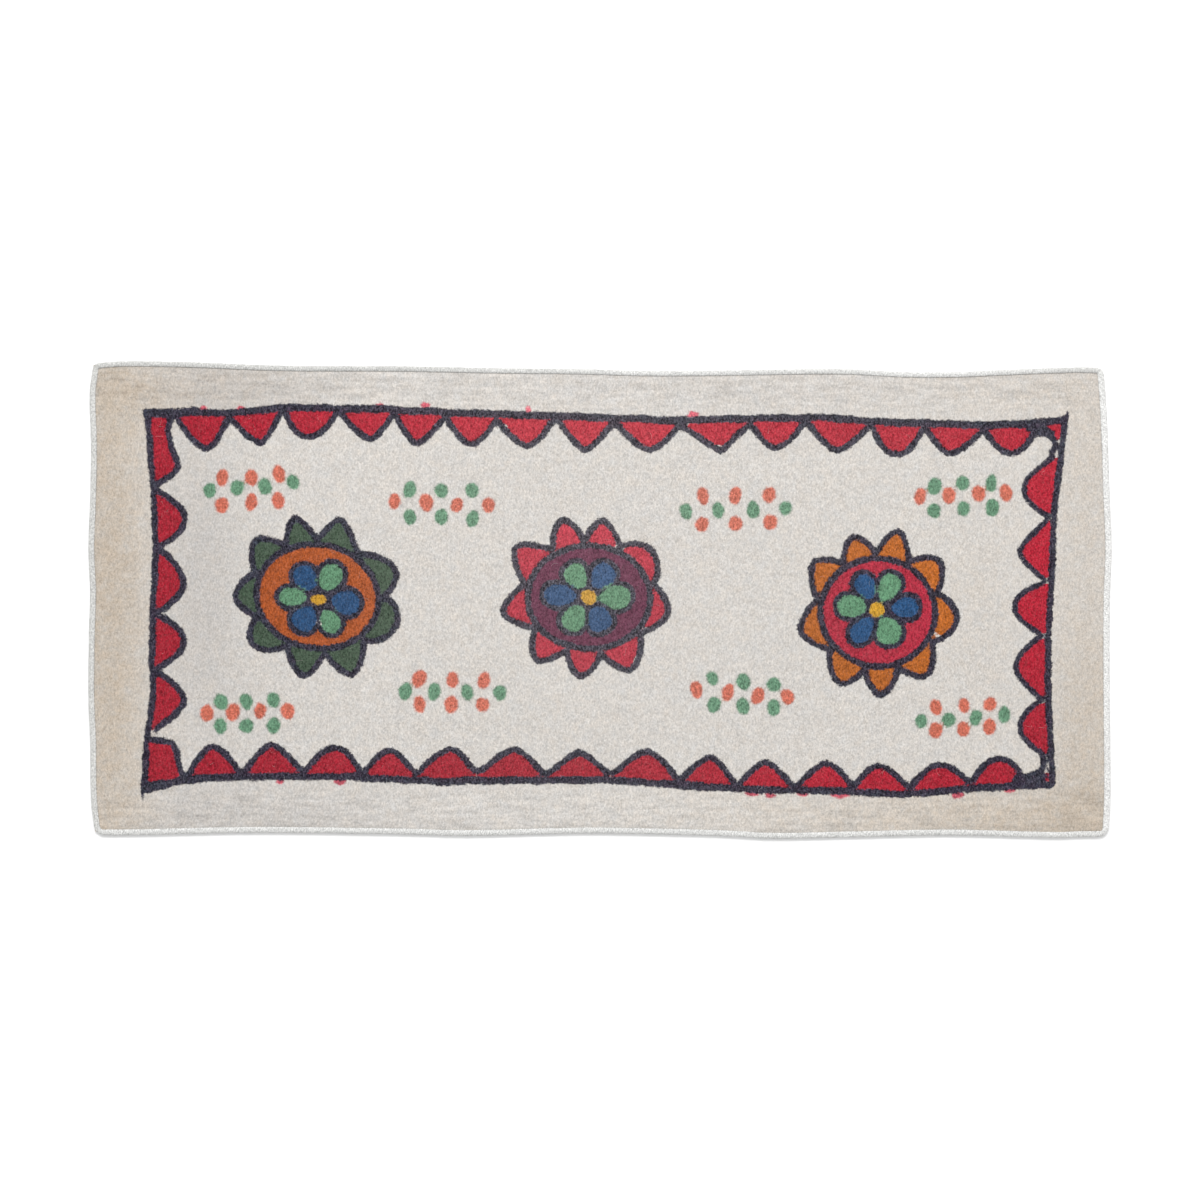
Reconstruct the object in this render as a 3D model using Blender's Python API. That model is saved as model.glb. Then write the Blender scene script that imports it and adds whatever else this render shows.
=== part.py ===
# A namad: a small hand-felted wool rug that lies flat, with a white yarn binding sewn over its edge.
# The rug's length runs along X and its width along Y. The underside lies on z = 0.

import math
from collections import namedtuple

import bmesh
import bpy

MM = 0.001

# Felt, in millimetres
FELT_THICKNESS = 5.5
SHOULDER_Z = 5.2
SHOULDER_RUN = 5.0
FIELD_RUN = 14.0
TONGUE_TOP_Z = 4.6
TONGUE_BOTTOM_Z = 1.6
TONGUE_TAPER = 0.2

# Binding, in millimetres: its yarn wraps the felt's pressed edge above, outside and below
YARN = 1.7
BINDING_HEIGHT = 6.8
LIP_Z = 5.6
PIECE_GAP = 0.3

# Spacing of the mesh
LONG_STEPS = 50
SHORT_STEPS = 23
ARC_STEPS = 2
SMALLEST_RADIUS = 3.0

# The outer edge of the binding. Each row says how far the edge lies out from the rug's middle at one
# place along that side. A side runs from low to high X or Y, with the binding's width on its top face.
Row = namedtuple("Row", "along out")
Side = namedtuple("Side", "binding_width rows")
SIDES = {
    "bottom": Side(8.8, (
        Row(-718, 345.0), Row(-513, 341.3), Row(-293, 343.5), Row(-198, 345.9), Row(-59, 342.8),
        Row(0, 342.1), Row(117, 344.3), Row(190, 346.5), Row(249, 350.0), Row(366, 347.9),
        Row(513, 345.0), Row(667, 348.7), Row(718, 347.2),
    )),
    "right": Side(9.6, (
        Row(-330, 746.0), Row(-293, 748.3), Row(-147, 747.2), Row(0, 747.2), Row(73, 750.0),
        Row(147, 747.2), Row(234, 744.4), Row(293, 741.6), Row(330, 738.7),
    )),
    "top": Side(7.8, (
        Row(-735, 347.6), Row(-703, 350.0), Row(-601, 348.7), Row(-513, 345.0), Row(-440, 343.2),
        Row(-293, 342.8), Row(-147, 339.9), Row(-29, 338.7), Row(59, 336.2), Row(147, 336.2),
        Row(293, 338.4), Row(366, 338.4), Row(440, 334.4), Row(513, 334.0), Row(586, 337.0),
        Row(703, 341.3), Row(725, 340.6),
    )),
    "left": Side(8.8, (
        Row(-335, 741.5), Row(-293, 746.1), Row(-205, 747.2), Row(-147, 749.8), Row(-44, 748.9),
        Row(15, 747.2), Row(73, 750.0), Row(147, 747.2), Row(234, 746.0), Row(303, 748.3),
        Row(337, 743.8),
    )),
}

# The sides in the order of travel, anticlockwise, and the radius of the corner where each one starts
ORDER = ("bottom", "right", "top", "left")
CORNER_RADII = {"bottom": 14.0, "right": 13.0, "top": 10.0, "left": 9.0}

# Low waves left in the felt by rolling it by hand: centre, length and width of each, turn and height
Wave = namedtuple("Wave", "x y length width turn_deg height")
WAVES = (
    Wave(-560, 60, 420, 190, 75, 0.35),
    Wave(-330, -210, 300, 120, 8, -0.30),
    Wave(-120, 305, 260, 60, 2, 0.35),
    Wave(90, 318, 330, 46, -3, -0.35),
    Wave(60, -40, 520, 210, 12, 0.25),
    Wave(330, 300, 300, 60, 4, 0.40),
    Wave(-190, -315, 280, 50, -2, 0.35),
    Wave(420, -250, 300, 110, -10, -0.30),
    Wave(640, 20, 330, 130, 84, 0.35),
)


def eased(rows, along):
    """The smooth curve through a side's rows, level past its first and last row."""
    if along <= rows[0].along:
        return rows[0].out
    if along >= rows[-1].along:
        return rows[-1].out
    slopes = [0.0]
    for before, after in zip(rows[:-2], rows[2:]):
        slopes.append((after.out - before.out) / (after.along - before.along))
    slopes.append(0.0)
    index = max(i for i in range(len(rows) - 1) if rows[i].along <= along)
    low, high = rows[index], rows[index + 1]
    span = high.along - low.along
    t = (along - low.along) / span
    rise = (high.out - low.out) * t * t * (3 - 2 * t)
    lean = slopes[index] * t * (1 - t) ** 2 - slopes[index + 1] * t * t * (1 - t)
    return low.out + rise + lean * span


def on_side(name, along, inset):
    """The point of one side's edge at a place along it, moved inwards by inset."""
    out = eased(SIDES[name].rows, along) - inset
    return {
        "bottom": (along, -out),
        "right": (out, along),
        "top": (along, out),
        "left": (-out, along),
    }[name]


def rim(share, extra):
    """One closed loop round the rug, anticlockwise from the low left corner.

    It lies inside the outer edge by a share of each side's binding width plus an extra length.
    """
    insets = {name: share * side.binding_width + extra for name, side in SIDES.items()}

    def reach(name, neighbour):
        row = SIDES[name].rows[0 if neighbour in ("left", "bottom") else -1]
        return row.out - insets[name]

    def radius(name):
        return max(CORNER_RADII[name] - max(insets.values()), SMALLEST_RADIUS)

    loop = []
    for index, name in enumerate(ORDER):
        after = ORDER[(index + 1) % len(ORDER)]
        travel = 1 if name in ("bottom", "right") else -1
        start_at = -travel * reach(ORDER[index - 1], name)
        end_at = travel * reach(after, name)
        run_start = start_at + travel * radius(name)
        run_end = end_at - travel * radius(after)
        for step in range(ARC_STEPS):
            turn = math.radians(45) * (1 - step / ARC_STEPS)
            along = run_start - travel * radius(name) * math.sin(turn)
            loop.append(on_side(name, along, insets[name] + radius(name) * (1 - math.cos(turn))))
        steps = LONG_STEPS if name in ("bottom", "top") else SHORT_STEPS
        for step in range(steps + 1):
            along = run_start + (run_end - run_start) * step / steps
            loop.append(on_side(name, along, insets[name]))
        for step in range(1, ARC_STEPS):
            turn = math.radians(45) * step / ARC_STEPS
            along = run_end + travel * radius(after) * math.sin(turn)
            loop.append(on_side(name, along, insets[name] + radius(after) * (1 - math.cos(turn))))
    return loop


COLUMNS = LONG_STEPS + 2 * ARC_STEPS
ROWS = SHORT_STEPS + 2 * ARC_STEPS


def sheet_point(loop, column, row):
    """A point of the even net stretched inside a loop, on the loop itself along its rim."""
    count = len(loop)
    low = loop[column]
    high = loop[(2 * COLUMNS + ROWS - column) % count]
    left = loop[(count - row) % count]
    right = loop[(COLUMNS + row) % count]
    corners = (loop[0], loop[COLUMNS], loop[COLUMNS + ROWS], loop[2 * COLUMNS + ROWS])
    s = (low[0] - corners[0][0]) / (corners[1][0] - corners[0][0])
    t = (left[1] - corners[0][1]) / (corners[3][1] - corners[0][1])
    weights = ((1 - s) * (1 - t), s * (1 - t), s * t, (1 - s) * t)
    point = []
    for axis in (0, 1):
        between_rows = low[axis] * (1 - t) + high[axis] * t
        between_columns = left[axis] * (1 - s) + right[axis] * s
        shared = sum(weight * corner[axis] for weight, corner in zip(weights, corners))
        point.append(between_rows + between_columns - shared)
    return point


def felt_height(x, y):
    """Height of the felt's top face over its field."""
    height = FELT_THICKNESS
    for wave in WAVES:
        turn = math.radians(wave.turn_deg)
        lengthways = (x - wave.x) * math.cos(turn) + (y - wave.y) * math.sin(turn)
        sideways = (y - wave.y) * math.cos(turn) - (x - wave.x) * math.sin(turn)
        distance = (lengthways / (wave.length / 2)) ** 2 + (sideways / (wave.width / 2)) ** 2
        height += wave.height * math.exp(-distance)
    return height


def pull_out(bm, edges, loop, z):
    """Extrudes a rim of edges and moves the new rim onto a loop at height z."""
    made = bmesh.ops.extrude_edge_only(bm, edges=edges)["geom"]
    new_edges = [item for item in made if isinstance(item, bmesh.types.BMEdge)]
    station = bm.verts.layers.int["station"]
    for vert in (item for item in made if isinstance(item, bmesh.types.BMVert)):
        x, y = loop[vert[station]]
        vert.co = (x * MM, y * MM, z * MM)
    return new_edges


def finish(bm, name, colour, roughness):
    """Turns a finished mesh into an object with its own material, faces pointing out."""
    bmesh.ops.recalc_face_normals(bm, faces=bm.faces)
    mesh = bpy.data.meshes.new(name)
    bm.to_mesh(mesh)
    bm.free()
    mesh.shade_smooth()
    mesh.set_sharp_from_angle(angle=math.radians(40))
    material = bpy.data.materials.new(name)
    material.use_nodes = True
    shader = material.node_tree.nodes["Principled BSDF"]
    shader.inputs["Base Color"].default_value = (*colour, 1)
    shader.inputs["Roughness"].default_value = roughness
    shader.inputs["Metallic"].default_value = 0
    mesh.materials.append(material)
    body = bpy.data.objects.new(name, mesh)
    bpy.context.scene.collection.objects.link(body)
    return body


# Felt: an even net for the field, then its rim pulled outwards into the pressed tongue and back under
def make_felt():
    bm = bmesh.new()
    bmesh.ops.create_grid(bm, x_segments=COLUMNS, y_segments=ROWS, size=1)
    station = bm.verts.layers.int.new("station")
    loop = rim(1, FIELD_RUN)
    for vert in bm.verts:
        column = round((vert.co.x + 1) / 2 * COLUMNS)
        row = round((vert.co.y + 1) / 2 * ROWS)
        if row == 0:
            vert[station] = column
        elif column == COLUMNS:
            vert[station] = COLUMNS + row
        elif row == ROWS:
            vert[station] = 2 * COLUMNS + ROWS - column
        elif column == 0:
            vert[station] = len(loop) - row
        x, y = sheet_point(loop, column, row)
        vert.co = (x * MM, y * MM, felt_height(x, y) * MM)

    edges = [edge for edge in bm.edges if edge.is_boundary]
    steps = (
        (1, SHOULDER_RUN, SHOULDER_Z),
        (1, PIECE_GAP, TONGUE_TOP_Z),
        (0, YARN + PIECE_GAP, TONGUE_TOP_Z - TONGUE_TAPER),
        (0, YARN + PIECE_GAP, TONGUE_BOTTOM_Z + TONGUE_TAPER),
        (1, PIECE_GAP, TONGUE_BOTTOM_Z),
        (1, PIECE_GAP, 0),
    )
    for share, extra, z in steps:
        edges = pull_out(bm, edges, rim(share, extra), z)
    bmesh.ops.contextual_create(bm, geom=edges)
    return finish(bm, "felt", (0.69, 0.66, 0.62), 0.95)


# Binding: one rounded hook section swept round the edge, open only where the felt's tongue enters it
def make_binding():
    sections = (
        (0, 2.2, 0),
        (0, 0.5, 1.2),
        (0, 0, 3.2),
        (0, 0.6, 5.2),
        (0, 2.6, 6.4),
        (0.55, 0, BINDING_HEIGHT),
        (1, 0, LIP_Z),
        (1, 0, TONGUE_TOP_Z + PIECE_GAP),
        (0, YARN, TONGUE_TOP_Z + PIECE_GAP - TONGUE_TAPER),
        (0, YARN, TONGUE_BOTTOM_Z - PIECE_GAP + TONGUE_TAPER),
        (1, 0, TONGUE_BOTTOM_Z - PIECE_GAP),
    )
    bm = bmesh.new()
    loop = rim(1, 0)
    bmesh.ops.create_circle(bm, segments=len(loop), radius=1)
    station = bm.verts.layers.int.new("station")
    bm.verts.index_update()
    for vert in bm.verts:
        vert[station] = vert.index
        vert.co = (loop[vert.index][0] * MM, loop[vert.index][1] * MM, 0)
    first = list(bm.edges)
    edges = first
    for share, extra, z in sections:
        edges = pull_out(bm, edges, rim(share, extra), z)
    bmesh.ops.bridge_loops(bm, edges=first + edges)
    return finish(bm, "edge_binding", (0.72, 0.71, 0.68), 0.85)


for old in list(bpy.data.objects):
    bpy.data.objects.remove(old)
make_felt()
make_binding()
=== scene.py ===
# %% [markdown]
# # A small namad
# A namad is a rug without a loom: combed wool is laid out in layers, wetted, rolled and trodden until it
# felts. The pattern is dyed wool laid on the cream ground before rolling, so it is colour inside the felt,
# with hairy edges, and nothing of it is a piece on its own. Then white yarn is sewn over the raw edge.
#
# So there are two pieces that matter: the felt sheet and the sewn edge. The rest is fine hair. The sheet is
# one dense net of faces that carries the drawing as numbers, and the material turns them into dyed wool.

# %% The frame that everything has to fit
import math
import random

import bmesh
import bpy
import numpy as np
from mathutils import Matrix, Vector, noise


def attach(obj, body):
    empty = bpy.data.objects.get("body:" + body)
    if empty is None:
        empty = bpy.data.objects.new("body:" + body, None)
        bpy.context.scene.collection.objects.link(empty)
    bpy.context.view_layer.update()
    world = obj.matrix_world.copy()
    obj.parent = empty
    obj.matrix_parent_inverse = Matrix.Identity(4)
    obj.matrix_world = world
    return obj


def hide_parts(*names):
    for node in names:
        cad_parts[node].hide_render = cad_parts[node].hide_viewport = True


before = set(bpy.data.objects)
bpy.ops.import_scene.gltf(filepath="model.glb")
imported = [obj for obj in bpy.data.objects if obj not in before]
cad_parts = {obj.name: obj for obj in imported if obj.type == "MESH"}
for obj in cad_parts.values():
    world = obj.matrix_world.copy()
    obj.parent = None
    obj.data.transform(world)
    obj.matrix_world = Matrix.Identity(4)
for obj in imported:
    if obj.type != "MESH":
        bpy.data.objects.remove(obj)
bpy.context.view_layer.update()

MM = 0.001
FELT_THICKNESS = 5.5


def put(name, data):
    """A new object, standing in the scene."""
    made = bpy.data.objects.new(name, data)
    bpy.context.scene.collection.objects.link(made)
    return made


def new_material(name, **looks):
    """A material and its shader, whose inputs are set by their names."""
    material = bpy.data.materials.new(name)
    material.use_nodes = True
    shader = material.node_tree.nodes["Principled BSDF"]
    for label, value in looks.items():
        shader.inputs[label.replace("_", " ")].default_value = value
    return material, shader


# %% [markdown]
# ## Camera, floor and light
# The rug was photographed from straight above, with a long lens, so that its sides stay parallel. The
# camera hangs over the middle and looks down. The width of floor it sees sets its height.
#
# The light is that of a product table: white all round, with one wide soft lamp beyond the rug's far edge.
# The lamp gives the roll of the edge its lit and its shaded side. A harder lamp would show the hair better,
# but the photograph has hardly any shadow.

# %% Camera
SEEN_WIDTH = 1.758
LENS = 85
SENSOR = 36

camera_data = bpy.data.cameras.new("camera")
camera_data.lens = LENS
camera_data.sensor_width = SENSOR
camera = put("camera", camera_data)
camera.location = (0, 0, FELT_THICKNESS * MM + SEEN_WIDTH * LENS / SENSOR)
bpy.context.scene.camera = camera
print("camera height, metres:", round(camera.location.z, 3))

# %% Floor and light
FLOOR_SIZE = 6.0
LAMP_PLACE = Vector((0.0, 4.6, 5.4))
LAMP_SIZE = (6.0, 2.6)
LAMP_POWER = 400
SKY = 0.74

bm = bmesh.new()
bmesh.ops.create_grid(bm, x_segments=1, y_segments=1, size=FLOOR_SIZE / 2)
floor_mesh = bpy.data.meshes.new("floor")
bm.to_mesh(floor_mesh)
bm.free()
floor = put("floor", floor_mesh)
paper_white = (0.96, 0.96, 0.96, 1)
paper, _ = new_material("white_paper", Base_Color=paper_white, Roughness=0.9, Specular_IOR_Level=0.1)
floor_mesh.materials.append(paper)

lamp_data = bpy.data.lights.new("soft_lamp", "AREA")
lamp_data.shape = "RECTANGLE"
lamp_data.size, lamp_data.size_y = LAMP_SIZE
lamp_data.energy = LAMP_POWER
lamp = put("soft_lamp", lamp_data)
lamp.location = LAMP_PLACE
lamp.rotation_euler = (-LAMP_PLACE).to_track_quat("-Z", "Y").to_euler()

studio = bpy.data.worlds.new("studio")
studio.use_nodes = True
sky_light = studio.node_tree.nodes["Background"]
sky_light.inputs["Color"].default_value = (1, 1, 1, 1)
sky_light.inputs["Strength"].default_value = SKY
bpy.context.scene.world = studio
bpy.context.scene.view_settings.view_transform = "Standard"
print("lamp", lamp_data.energy, "watts, sky", SKY)

# %% [markdown]
# ## The outline of the rug
# A hand-cut rug has no straight side. The outline could be charted again here, but then it could drift away
# from the solid model. So it is read from the model: the binding's solid has one ring of points on its
# outermost line and one on its inner lip, each at a height of its own.

# %% Rings of the solid binding
OUTER_Z = 3.2
LIP_Z = 5.6


def ring_at(node, height):
    """The points of a solid that lie at one height in mm, sorted round the rug, in mm."""
    bm = bmesh.new()
    bm.from_mesh(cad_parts[node].data)
    bmesh.ops.remove_doubles(bm, verts=bm.verts, dist=0.01 * MM)
    points = [vert.co / MM for vert in bm.verts if abs(vert.co.z / MM - height) < 0.02]
    bm.free()
    points.sort(key=lambda point: math.atan2(point.y, point.x))
    return np.array([(point.x, point.y) for point in points])


outer_ring = ring_at("edge_binding", OUTER_Z)
lip_ring = ring_at("edge_binding", LIP_Z)
print("points in the rings:", len(outer_ring), len(lip_ring))

# %% Sides as curves
# The ends of the straight part of the long sides along x, and of the short sides along y
STRAIGHT = (724, 328)
# Each side's name, the axis that it runs along and whether it lies on the low side of the middle
SIDES = (("bottom", 0, True), ("top", 0, False), ("left", 1, True), ("right", 1, False))
# Half the width from which the places of the net are first guessed
GUESS_Y = 340
# How far the net ends inside the outermost line, and the felt's underside inside the lip
TUCK = 5.5
LIP_GAP = 0.3


def sides_of(ring, inset):
    """The four sides of a ring, each as places along it and places across, moved inwards by inset."""
    sides = {}
    for name, along, is_low in SIDES:
        is_here = (abs(ring[:, along]) < STRAIGHT[along]) & ((ring[:, 1 - along] < 0) == is_low)
        points = ring[is_here]
        points = points[np.argsort(points[:, along])]
        sides[name] = (points[:, along], points[:, 1 - along] + (inset if is_low else -inset))
    return sides


def spread(s, t, sides):
    """Places in mm of a net whose shares s and t run from 0 to 1 between the sides."""
    y = -GUESS_Y + 2 * GUESS_Y * t
    x = np.interp(y, *sides["left"]) * (1 - s) + np.interp(y, *sides["right"]) * s
    y = np.interp(x, *sides["bottom"]) * (1 - t) + np.interp(x, *sides["top"]) * t
    return x, y


def inside_of(x, y, sides):
    """How far places lie inside the sides, in mm."""
    from_left = x - np.interp(y, *sides["left"])
    from_right = np.interp(y, *sides["right"]) - x
    from_bottom = y - np.interp(x, *sides["bottom"])
    from_top = np.interp(x, *sides["top"]) - y
    return np.minimum.reduce((from_left, from_right, from_bottom, from_top))


hidden_sides = sides_of(outer_ring, TUCK)
lip_sides = sides_of(lip_ring, 0)
under_sides = sides_of(lip_ring, LIP_GAP)
print("top side at the middle, mm:", round(float(np.interp(0, *hidden_sides["top"])), 1))

# %% [markdown]
# ## The felt sheet
# Felt lies flat but never even: rolling leaves low waves, the border strips keep small ripples across the
# rolling direction, and the yarn pulls the edge down. Cloth simulation would iron these out, because
# nothing here hangs or folds. A fine grid whose heights come from a few named waves does it directly.
#
# The grid reaches under the binding. Its rim is then extruded down, in and down again, so that the sheet
# is a closed body 5.5 mm thick with a plain back.

# %% The even net
COLUMNS = 400
ROWS = 186

sheet_bm = bmesh.new()
bmesh.ops.create_grid(sheet_bm, x_segments=COLUMNS, y_segments=ROWS, size=1)
share_s = np.array([vert.co.x for vert in sheet_bm.verts]) / 2 + 0.5
share_t = np.array([vert.co.y for vert in sheet_bm.verts]) / 2 + 0.5
net_x, net_y = spread(share_s, share_t, hidden_sides)
seam_distance = inside_of(net_x, net_y, lip_sides)
print("net points:", len(net_x), "cell, mm:", round(1490 / COLUMNS, 2), round(686 / ROWS, 2))

# %% Heights: waves, ripples, lumps and the pulled-down seam
SEAM_Z = 4.5
LUMP_RISE = 0.09
# Waves: x, y, length, width, turn in degrees, height, all in mm
WAVES = (
    (-560, 60, 420, 190, 75, 0.35),
    (-330, -210, 300, 120, 8, -0.30),
    (-120, 305, 260, 60, 2, 0.35),
    (90, 318, 330, 46, -3, -0.35),
    (60, -40, 520, 210, 12, 0.25),
    (330, 300, 300, 60, 4, 0.40),
    (-190, -315, 280, 50, -2, 0.35),
    (420, -250, 300, 110, -10, -0.30),
    (640, 20, 330, 130, 84, 0.35),
)
# Ripples: x, y, length, width, turn in degrees, pitch, height
RIPPLES = (
    (150, 312, 420, 34, -2, 13, 0.22),
    (420, 305, 300, 36, 3, 15, 0.20),
    (-80, -306, 340, 34, 1, 14, 0.20),
    (-300, -312, 160, 30, -3, 12, 0.12),
    (-705, 60, 60, 260, 4, 17, 0.12),
)


def hump(x, y, centre_x, centre_y, length, width, turn_deg):
    """A soft oval hill, one high, and the place across it."""
    turn = math.radians(turn_deg)
    lengthways = (x - centre_x) * math.cos(turn) + (y - centre_y) * math.sin(turn)
    sideways = (y - centre_y) * math.cos(turn) - (x - centre_x) * math.sin(turn)
    return np.exp(-((lengthways * 2 / length) ** 2) - (sideways * 2 / width) ** 2), sideways


def lump(x, y):
    """Small unevenness of the felt at a place, about one high."""
    return noise.noise((x / 9, y / 9, 0.5)) + 0.6 * noise.noise((x / 4.5, y / 4.5, 7))


height = np.full(net_x.shape, FELT_THICKNESS)
for x, y, length, width, turn_deg, rise in WAVES:
    height += rise * hump(net_x, net_y, x, y, length, width, turn_deg)[0]
for x, y, length, width, turn_deg, pitch, rise in RIPPLES:
    hill, across = hump(net_x, net_y, x, y, length, width * 1.6, turn_deg)
    bend = 4 * np.sin(net_x / 47) + 3 * np.sin(net_x / 19 + 1)
    height += rise * hill * np.sin(2 * np.pi * (across + bend) / pitch)
height += LUMP_RISE * np.array([lump(x, y) for x, y in zip(net_x, net_y)])
seam_rise = np.interp(seam_distance, (-4, 0.3, 2, 5, 14), (0, 0.05, 0.45, 0.75, 1))
height = SEAM_Z * (1 - seam_rise) + height * seam_rise
print("felt height, mm:", round(height.min(), 2), "to", round(height.max(), 2))

# %% [markdown]
# ## The drawing
# The lines of a namad are slivers of dark wool laid down first, and the colours are pinches of dyed wool
# laid inside them. An image of the pattern would be the easy way, but it would be a picture of one rug.
# Here each figure is charted as a maker would note it: where the joints and tips of the scallops lie, how
# many petals a rosette has and how far each reaches, and how the dots stand in their rows.
#
# Curves are drawn from those sizes. For each point of the net, two numbers are kept: how deep it lies in
# dark wool, and how deep in dyed wool. Both are in mm, and negative outside. A number like that stays
# smooth between points, so the material can cut a sharp or hairy edge from it at any closeness.

# %% Frame line: a few places a side, each with how far out the line lies there, in mm from the middle
TOP_LINE = (
    (-665, 275), (-590, 276), (-540, 273), (-490, 280), (-440, 282), (-290, 279), (-150, 272),
    (0, 268), (110, 263), (200, 266), (320, 267), (420, 261), (550, 256), (620, 257), (679, 264),
)
BOTTOM_LINE = (
    (-667, -278), (-610, -264), (-540, -259), (-380, -259), (-230, -266), (0, -263), (110, -271),
    (250, -279), (330, -279), (440, -285), (570, -274), (660, -271),
)
LEFT_LINE = (
    (-278, -668), (-210, -665), (-150, -655), (-70, -657), (70, -651), (150, -653), (220, -659),
    (275, -663),
)
RIGHT_LINE = (
    (-268, 663), (-150, 657), (-60, 656), (60, 663), (120, 664), (190, 672), (264, 682),
)
LINE_HALF = 5.7
SIDE_HALF = 5.0
SCALLOP_HALF = 4.8
RIGHT_SCALLOP_HALF = 4.2
WOBBLE = 1.6


def along_line(rows, places):
    """How far out a charted line lies at places along it, with the small wobble of a hand-laid sliver."""
    wobble = [WOBBLE * noise.noise((place / 23, rows[0][1], 0.5)) for place in places]
    return np.interp(places, [row[0] for row in rows], [row[1] for row in rows]) + wobble


def drawn_line(rows, upright):
    """A charted line as points every 6 mm, with its kinks smoothed."""
    places = np.arange(rows[0][0], rows[-1][0] + 3, 6.0)
    out = along_line(rows, places)
    padded = np.concatenate((out[:1], out, out[-1:]))
    out = (padded[:-2] + 2 * out + padded[2:]) / 4
    return np.column_stack((out, places) if upright else (places, out))


strokes = []
pools = []
for rows, upright, half_width in (
    (TOP_LINE, False, LINE_HALF),
    (BOTTOM_LINE, False, LINE_HALF),
    (LEFT_LINE, True, SIDE_HALF),
    (RIGHT_LINE, True, SIDE_HALF),
):
    strokes.append((drawn_line(rows, upright), half_width))
# Where the line is heavier, and where its ends run past the corners
HEAVY = (
    (((-664, 273.5), (-625, 273.5), (-592, 277)), 6.6),
    (((-666, -274), (-640, -269)), 6.6),
    (((88, -269), (150, -272)), 5.9),
    (((628, 252), (652, 250), (660, 244)), 6.0),
    (((-669, -280), (-670, -285)), 2.6),
    (((-669, -284), (-671, -291)), 1.3),
    (((612, -263), (638, -263), (646, -259)), 8.0),
    (((683, 266), (685, 271)), 2.6),
    (((684, 270), (686, 276)), 1.3),
)
for line, half_width in HEAVY:
    strokes.append((np.array(line, float), half_width))
print("frame lines:", len(strokes))

# %% Scallops
# Each row, in mm: a joint, how far it stays off the frame line, the tip, its reach and its roundness. Places
# run along the line from low to high, and a roundness of 1 is a sharp tip. The last row only ends the row.
TOP_SCALLOPS = (
    (-623, 6, -576, 53, 1.7), (-544, 7, -497, 48, 1.4), (-464, 5, -428, 42, 2.3),
    (-384, 4, -336, 44, 1.5), (-301, 8, -268, 47, 1.6), (-227, 9, -187, 46, 1.7),
    (-152, 10, -108, 44, 1.7), (-65, 4, -22, 48, 1.4), (22, 8, 71, 44, 1.7),
    (117, 10, 177, 46, 1.2), (220, 10, 257, 44, 1.7), (301, 6, 346, 46, 1.6),
    (397, 6, 432, 46, 2.3), (475, 8, 512, 43, 1.6), (563, 8, 603, 42, 2.1), (642, 6, 0, 0, 1),
)
BOTTOM_SCALLOPS = (
    (-605, 8, -568, 46, 1.6), (-525, 4, -482, 46, 1.5), (-435, 8, -387, 42, 1.9),
    (-349, 6, -307, 41, 1.7), (-268, 11, -220, 48, 1.7), (-181, 14, -125, 45, 1.5),
    (-80, 10, -30, 41, 1.3), (16, 10, 70, 46, 1.5), (117, 10, 161, 44, 1.5), (201, 5, 242, 40, 1.5),
    (286, 5, 333, 40, 1.6), (371, 8, 409, 40, 1.8), (453, 10, 494, 39, 1.8),
    (544, 10, 584, 41, 2.2), (625, 4, 0, 0, 1),
)
LEFT_SCALLOPS = (
    (-191, 11, -149, 46, 1.7), (-102, 5, -60, 46, 2.1), (-20, 6, 22, 42, 2), (77, 4, 117, 44, 2.1),
    (162, 4, 0, 0, 1),
)
RIGHT_SCALLOPS = (
    (-227, 12, -186, 43, 2.2), (-146, 10, -97, 47, 1.9), (-51, 11, -7, 51, 2.2), (27, 10, 69, 48, 1.5),
    (120, 8, 164, 48, 1.9), (211, 12, 0, 0, 1),
)
FILLET = 4.5


def scallop_row(rows, line, upright, inwards, half_width):
    """Draws a row of scallops that hang inwards from a line, each filled with red."""
    for (joint, hold, tip, reach, roundness), (next_joint, next_hold, *_) in zip(rows[:-1], rows[1:]):
        share = np.linspace(-1, 1, 29)
        places = np.where(share < 0, tip + share * (tip - joint), tip + share * (next_joint - tip))
        depth = np.hypot(reach * (1 - abs(share) ** roundness), FILLET)
        depth += (np.where(share < 0, hold, next_hold) - FILLET) * abs(share) ** 3
        base = along_line(line, places)
        curve = np.column_stack((places, base + inwards * depth))
        edge = np.column_stack((places, base))[::-1]
        if upright:
            curve = curve[:, ::-1]
            edge = edge[:, ::-1]
        strokes.append((curve, half_width))
        pools.append((np.vstack((curve, edge)), "red", 1.0))


scallop_row(TOP_SCALLOPS, TOP_LINE, False, -1, SCALLOP_HALF)
scallop_row(BOTTOM_SCALLOPS, BOTTOM_LINE, False, 1, SCALLOP_HALF)
scallop_row(LEFT_SCALLOPS, LEFT_LINE, True, 1, SCALLOP_HALF)
scallop_row(RIGHT_SCALLOPS, RIGHT_LINE, True, -1, RIGHT_SCALLOP_HALF)
print("scallops:", len(pools))

# %% Corner blocks
CORNERS = (
    ((-628, 272), (-633, 248), (-628, 224), (-620, 205), (-618, 195), (-626, 184), (-649, 170)),
    ((-660, -204), (-640, -206), (-626, -210), (-620, -222), (-618, -238), (-612, -256)),
    ((642, 245), (655, 242), (664, 236), (667, 226), (663, 217)),
    ((644, -220), (649.5, -230), (650.5, -243), (647, -250), (637, -255), (625, -259)),
)
CORNER_FILLS = (
    ((-662, 272), (-628, 272), (-633, 248), (-628, 224), (-620, 205), (-618, 195), (-626, 184), (-655, 170)),
    ((-668, -204), (-640, -206), (-626, -210), (-620, -222), (-618, -238), (-614, -262), (-668, -272)),
    ((649, 258), (684, 265), (680, 246), (669, 226), (664, 240)),
    ((648, -252), (659, -250), (661, -267), (650, -267)),
)
for line in CORNERS:
    strokes.append((np.array(line, float), SCALLOP_HALF))
for line in CORNER_FILLS:
    pools.append((np.array(line, float), "red", 1.0))
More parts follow.
